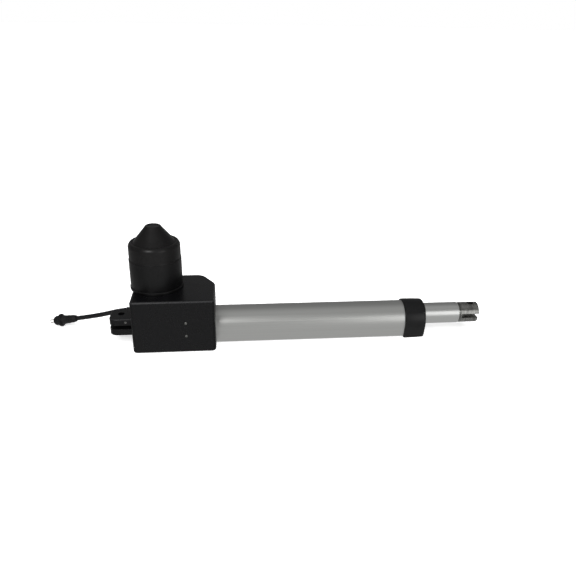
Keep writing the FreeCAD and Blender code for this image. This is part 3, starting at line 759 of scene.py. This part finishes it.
def add_motor_cover():
    """The hard lower shell, with an eased top edge that stands a little proud of the hood."""
    low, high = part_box("motor_cover")
    centre = middle("motor_cover")
    wall = reach("motor_cover").x / MM
    tall = (high.z - low.z) / MM
    inner = wall - 3
    outline = rounded([
        (wall - 0.2, 0, 0.3), (wall, tall, 0.55), (wall - 0.78, tall, 0.15),
        (inner, tall - 0.3, 0.1), (inner, 0, 0.2),
    ], steps=5, closed=True)
    cover = as_object("motor_cover_shell", lathe(outline, sides=SHELL_SIDES, closed=True),
                      upright(centre.x, centre.y, low.z))
    sharpen(cover)
    add_piece(cover, "motor_cover")


def add_base_ring():
    """The seat of the cover, with a half-round edge and a drain notch at the near left."""
    low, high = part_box("cover_base_ring")
    centre = middle("cover_base_ring")
    wall = reach("cover_base_ring").x / MM
    tall = (high.z - low.z) / MM
    inner = wall - 4.3
    outline = rounded([
        (wall, 0, 0.4), (wall, tall, 1.1), (inner, tall, 0.1), (inner, 0, 0.1),
    ], steps=6, closed=True)
    ring = as_object("cover_seat", lathe(outline, sides=SHELL_SIDES, closed=True),
                     upright(centre.x, centre.y, low.z))
    turn = math.radians(28)
    notch_radius, notch_up, notch_deep = 1.4, 0.6, 3
    out = Vector((-math.sin(turn), -math.cos(turn), 0))
    start = Vector((centre.x, centre.y, low.z + notch_up * MM))
    start += out * (wall - notch_deep) * MM
    carve(ring, [drill(notch_radius * MM, start, out, 2 * notch_deep * MM)])
    sharpen(ring)
    add_piece(ring, "cover_base_ring")


# ---------------------------------------------------------------- end cap and fork

# The profile's sides lean inwards, and its arch is struck from below the screw's axis.
SIDE_LEAN = math.radians(11)
ARCH_DROP = 7.0
# The rounding of the profile's and the cap's lower edges.
CORNER = 2.6
# The four screws through the cap's face, as (y, z) in millimetres.
SCREWS = [(-25.5, 5.0), (25.5, 5.0), (-23.5, -29.0), (23.5, -29.0)]
# The rounding of the cap's rear and front rims, its draft, and the depth of the wiper's seat.
REAR_RIM = 1.4
FRONT_RIM = 3.0
CAP_DRAFT = 0.9
WIPER_DEEP = 5


def arch_loop(x, radius, base_drop):
    """The profile's outline in the plane at x: an arch on sides that lean inwards, with
    rounded lower corners. Every loop has as many points, so that loops can be joined."""
    across = radius * math.cos(SIDE_LEAN)
    down = ARCH_DROP + radius * math.sin(SIDE_LEAN)
    base = across - (base_drop - down) * math.tan(SIDE_LEAN)
    line = []
    steps = 64
    for step in range(steps + 1):
        turn = -SIDE_LEAN + step * (math.pi + 2 * SIDE_LEAN) / steps
        point = Vector((radius * math.cos(turn), radius * math.sin(turn) - ARCH_DROP))
        line.append(point * MM)
    line += rounded([
        (-across, -down, 0), (-base, -base_drop, CORNER), (base, -base_drop, CORNER),
        (across, -down, 0),
    ], steps=8)[1:-1]
    return [(x, point.x, point.y) for point in line]


def quarter(steps):
    """Angles from 0 to a right angle."""
    return [math.pi / 2 * step / steps for step in range(steps + 1)]


def add_end_cap():
    """The moulded cap: eased rims, a slight draft, a stepped bore and sunk screw seats."""
    low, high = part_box("end_cap")
    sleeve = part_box("outer_tube")
    gap = 0.1
    inner_radius = sleeve[1].z / MM + ARCH_DROP + gap
    inner_drop = -sleeve[0].z / MM + gap
    outer_radius = high.z / MM + ARCH_DROP
    outer_drop = -low.z / MM
    bush = reach("guide_bush").y
    seat = reach("wiper_seal").y
    shoulder = sleeve[1].x
    rear, front = low.x, high.x

    def outer(x, inset):
        return arch_loop(x, outer_radius - inset, outer_drop - inset)

    rings = [outer(rear + REAR_RIM * MM * (1 - math.cos(turn)),
                   REAR_RIM * (1 - math.sin(turn))) for turn in quarter(5)]
    rings.append(outer(front - 14 * MM, 0.35))
    rings += [outer(front - FRONT_RIM * MM * (1 - math.sin(turn)),
                    CAP_DRAFT + FRONT_RIM * (1 - math.cos(turn))) for turn in quarter(7)]

    def round_hole(x, radius):
        return [(x, radius * math.cos(turn), radius * math.sin(turn))
                for turn in [math.atan2(z, y) for _, y, z in outer(x, 0)]]

    rings += [
        round_hole(front, seat + 0.5 * MM), round_hole(front - 0.5 * MM, seat),
        round_hole(front - WIPER_DEEP * MM, seat), round_hole(front - WIPER_DEEP * MM, bush),
        round_hole(shoulder, bush),
        arch_loop(shoulder, inner_radius, inner_drop),
        arch_loop(rear, inner_radius, inner_drop),
    ]
    cap = as_object("end_cap_moulding", skin(rings, closed=True))
    sunk, head_room = 4, 3.7
    carve(cap, [
        drill(head_room * MM, (front - sunk * MM, y * MM, z * MM), (1, 0, 0), 2 * sunk * MM)
        for y, z in SCREWS
    ])
    sharpen(cap, 40)
    add_piece(cap, "end_cap")


# The radius of both pin bores, and how far a cutting tool stands out of the metal.
PIN_BORE = 6.1 * MM
PROUD = 5 * MM


def add_fork_end():
    """The steel fork: a turned blank with a neck, a milled slot and a vertical pin bore. Its
    lower prong is a little shorter than the upper one."""
    low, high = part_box("fork_end")
    tube_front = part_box("inner_tube")[1].x
    wall = high.z / MM
    tip = (high.x - low.x) / MM
    neck = (tube_front - low.x) / MM
    groove = wall - 1.4
    outline = rounded([
        (0, 0, 0), (16.6, 0, 0.5), (17, neck - 0.2, 0.2), (groove, neck + 0.1, 0.3),
        (groove, neck + 2.2, 0.3), (wall, neck + 3.4, 0.5), (wall, tip, 1.3), (0, tip, 0),
    ], steps=5)
    fork = as_object("fork_forging", lathe(outline, sides=160),
                     lying((low.x, 0, 0), (1, 0, 0)))
    half_slot, slot_from, shorter, pin_back = 4 * MM, 5 * MM, 2.2 * MM, 14.2 * MM
    left, right, ahead = low.y - PROUD, high.y + PROUD, high.x + PROUD
    carve(fork, [
        saw((tube_front + slot_from, left, -half_slot), (ahead, right, half_slot)),
        saw((high.x - shorter, left, low.z - PROUD), (ahead, right, -1 * MM)),
        drill(PIN_BORE, (high.x - pin_back, 0, low.z - PROUD), (0, 0, 1), 60 * MM),
    ])
    ease_edges(fork, 0.45)
    add_piece(fork, "fork_end")


# ---------------------------------------------------------------- rear clevis

def add_rear_clevis():
    """The rear lug: rounded in plan, eased top and bottom, slotted, drilled for its pin."""
    low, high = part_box("rear_clevis")
    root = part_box("gearbox_housing")[0].x
    long = (root - low.x) / MM
    wide = (high.y - low.y) / 2 / MM
    tall = high.z / MM
    rim, corner = 2, 13

    def plan(inset, rise):
        line = rounded([
            (inset, -wide + inset, corner - inset), (long, -wide + inset, 0),
            (long, wide - inset, 0), (inset, wide - inset, corner - inset),
        ], steps=12, closed=True)
        return [(low.x + point.x, point.y, rise * MM) for point in line]

    rings = [plan(rim * (1 - math.sin(turn)), -tall + rim * (1 - math.cos(turn)))
             for turn in quarter(5)]
    rings += [plan(rim * (1 - math.cos(turn)), tall - rim * (1 - math.sin(turn)))
              for turn in quarter(5)]
    lug = as_object("clevis_casting", skin(rings))
    half_slot, web = 3.75 * MM, 4 * MM
    set_screw = (10.5 * MM, low.y - 1 * MM, 10 * MM)
    slot_low = (low.x - PROUD, low.y - PROUD, -half_slot)
    carve(lug, [
        saw(slot_low, (root - web, high.y + PROUD, half_slot)),
        drill(PIN_BORE, (0, 0, low.z - PROUD), (0, 0, 1), 50 * MM),
        drill(2.1 * MM, set_screw, (0, 1, 0), 9 * MM),
    ])
    ease_edges(lug, 0.7)
    add_piece(lug, "rear_clevis")


# ---------------------------------------------------------------- screws in the near wall

def add_board_screws():
    """Two bright pan-head screws with a cross recess."""
    low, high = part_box("board_screws")
    radius = (high.x - low.x) / 2 / MM
    centre = middle("board_screws")
    head, shank, end = 1.1, 1.5, 9.1
    cross_reach, cross_deep, cross_half = 1.5 * MM, 0.7 * MM, 0.26 * MM
    outline = rounded([
        (0, 0, 0), (1.9, 0.12, 1.2), (radius, head * 0.8, 0.3), (radius, head, 0),
        (shank, head, 0), (shank, end, 0), (0, end, 0),
    ], steps=5)
    for number, z in enumerate((low.z + radius * MM, high.z - radius * MM), start=1):
        start = Vector((centre.x, low.y, z))
        screw = as_object(f"board_screw_{number}", lathe(outline, sides=64),
                          lying(start, (0, 1, 0)))
        slots = []
        for turn in (20, 110):
            arm = Matrix.Rotation(math.radians(turn), 4, "Y")
            slot = saw((-cross_reach, -1 * MM, -cross_half),
                       (cross_reach, cross_deep, cross_half))
            slot.data.transform(Matrix.Translation(start) @ arm)
            slots.append(slot)
        carve(screw, slots)
        sharpen(screw, 40)
        add_piece(screw, "board_screws")


# ---------------------------------------------------------------- supply cord and plug

# The cord's middle line in metres, from inside the strain relief to the plug's tail.
CORD_ROUTE = [
    (0.0040, 0.0360, 0.0072),
    (-0.0140, 0.0368, 0.0047),
    (-0.0360, 0.0406, -0.0022),
    (-0.0590, 0.0466, -0.0088),
    (-0.0800, 0.0524, -0.0142),
    (-0.0970, 0.0574, -0.0185),
]
PLUG_HEAD = (-0.1295, 0.0642, -0.0248)
CORD_RADIUS = 0.0044


def add_cord():
    """The short, stiff supply cord, from the strain relief to the plug."""
    curve = bpy.data.curves.new("supply_cord_jacket", "CURVE")
    curve.dimensions = "3D"
    curve.bevel_depth = CORD_RADIUS
    curve.bevel_resolution = 8
    curve.resolution_u = 16
    spline = curve.splines.new("NURBS")
    spline.points.add(len(CORD_ROUTE) - 1)
    for point, place in zip(spline.points, CORD_ROUTE):
        point.co = (*place, 1)
    spline.order_u = 3
    spline.use_endpoint_u = True
    cord = bpy.data.objects.new("supply_cord_jacket", curve)
    bpy.context.collection.objects.link(cord)
    return add_piece(cord, "supply_cord")


def add_strain_relief():
    """The tapered boot, with four ribs round it, on a flange against the rear wall."""
    low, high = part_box("cable_gland")
    wall = (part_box("gearbox_housing")[0].x - low.x) / MM
    end = (high.x - low.x) / MM
    flange = wall - 3
    flange_radius, stem = 8.4, 6.5
    outline = [(0, 0, 0), (4.9, 0, 0.5)]
    for rib in range(4):
        start = 2.6 + rib * 3.6
        grow = 5.3 + 1.5 * start / flange
        outline += [(grow, start, 0.3), (grow - 0.6, start + 0.6, 0.2),
                    (grow - 0.5, start + 1.5, 0.2), (grow + 0.2, start + 2.1, 0.3)]
    outline += [(6.9, flange - 0.3, 0.3), (flange_radius - 0.4, flange, 0.3),
                (flange_radius, flange + 0.6, 0.4), (flange_radius, wall, 0),
                (stem, wall, 0), (stem, end, 0), (0, end, 0)]
    place = lying((low.x, CORD_ROUTE[0][1], CORD_ROUTE[0][2]), (1, 0, 0))
    boot = as_object("strain_relief", lathe(rounded(outline, steps=3), sides=64), place)
    sharpen(boot)
    add_piece(boot, "cable_gland")


# Where the plug's grip, nut and face end, in millimetres from the plug's tail, and its pins.
GRIP_END = 29
NUT_END = 34
FACE_END = 45
NUT_RADIUS = 12.3
NUT_FLUTES = 18
PIN_LONG = 10.9
PIN_ASIDE = 2.5


def add_plug():
    """The moulded plug: a waisted grip with rings, a fluted nut, a face and two pins."""
    tail = Vector(CORD_ROUTE[-1])
    along = Vector(PLUG_HEAD) - tail
    place = lying(tail, along)

    outline = [(0, 0, 0), (5.9, 0, 0.6), (6.7, 2.0, 1.0), (6.8, 3.0, 0)]
    for ring in range(4):
        start = 5.0 + ring * 3.2
        grow = 6.9 + 0.08 * start
        outline += [(grow, start, 0.3), (grow - 0.7, start + 0.5, 0.25),
                    (grow - 0.65, start + 1.1, 0.25), (grow + 0.1, start + 1.6, 0.3)]
    outline += [(8.1, 19.6, 1.5), (8.8, 25, 2.0), (9.2, GRIP_END, 0), (0, GRIP_END, 0)]
    grip = as_object("plug_grip", lathe(rounded(outline, steps=3), sides=64), place)

    def fluted(radius, turn, height):
        depth = 0.45 * MM if radius > 11 * MM else 0
        return radius - depth * max(0, math.cos(NUT_FLUTES * turn)) ** 2

    rim, ease = NUT_RADIUS - 0.9, 0.8
    outline = rounded([
        (0, GRIP_END, 0), (rim, GRIP_END, 0.3), (NUT_RADIUS, GRIP_END + ease, 0.5),
        (NUT_RADIUS, NUT_END - ease, 0.5), (rim, NUT_END, 0.3), (0, NUT_END, 0),
    ], steps=4)
    nut = as_object("plug_nut", lathe(outline, sides=12 * NUT_FLUTES, reach_at=fluted), place)

    outline = rounded([
        (0, NUT_END, 0), (9.6, NUT_END, 0), (9.1, 41.5, 2.0), (7.4, FACE_END, 1.6),
        (0, FACE_END, 0),
    ], steps=6)
    face = as_object("plug_face", lathe(outline, sides=64), place)

    pin_outline = rounded([
        (0, 0, 0), (1, 0, 0), (1, PIN_LONG, 0.7), (0, PIN_LONG, 0),
    ], steps=4)
    pins = bmesh.new()
    for side in (-PIN_ASIDE, PIN_ASIDE):
        pin = lathe(pin_outline, sides=32)
        pin.transform(Matrix.Translation((0, side * MM, FACE_END * MM)))
        spare = bpy.data.meshes.new("pin")
        pin.to_mesh(spare)
        pin.free()
        pins.from_mesh(spare)
        bpy.data.meshes.remove(spare)
    contacts = as_object("plug_contacts", pins, place)

    pieces = []
    for piece, node in ((grip, "plug_body"), (nut, "plug_collar"), (face, "plug_nose"),
                        (contacts, "plug_pins")):
        sharpen(piece)
        pieces.append(add_piece(piece, node))
    return pieces


add_camera()
cord = add_cord()
add_strain_relief()
plug = add_plug()
add_stage()
paint_cad_nodes()
add_motor_hood()
add_motor_cover()
add_base_ring()
add_end_cap()
add_fork_end()
add_rear_clevis()
add_board_screws()
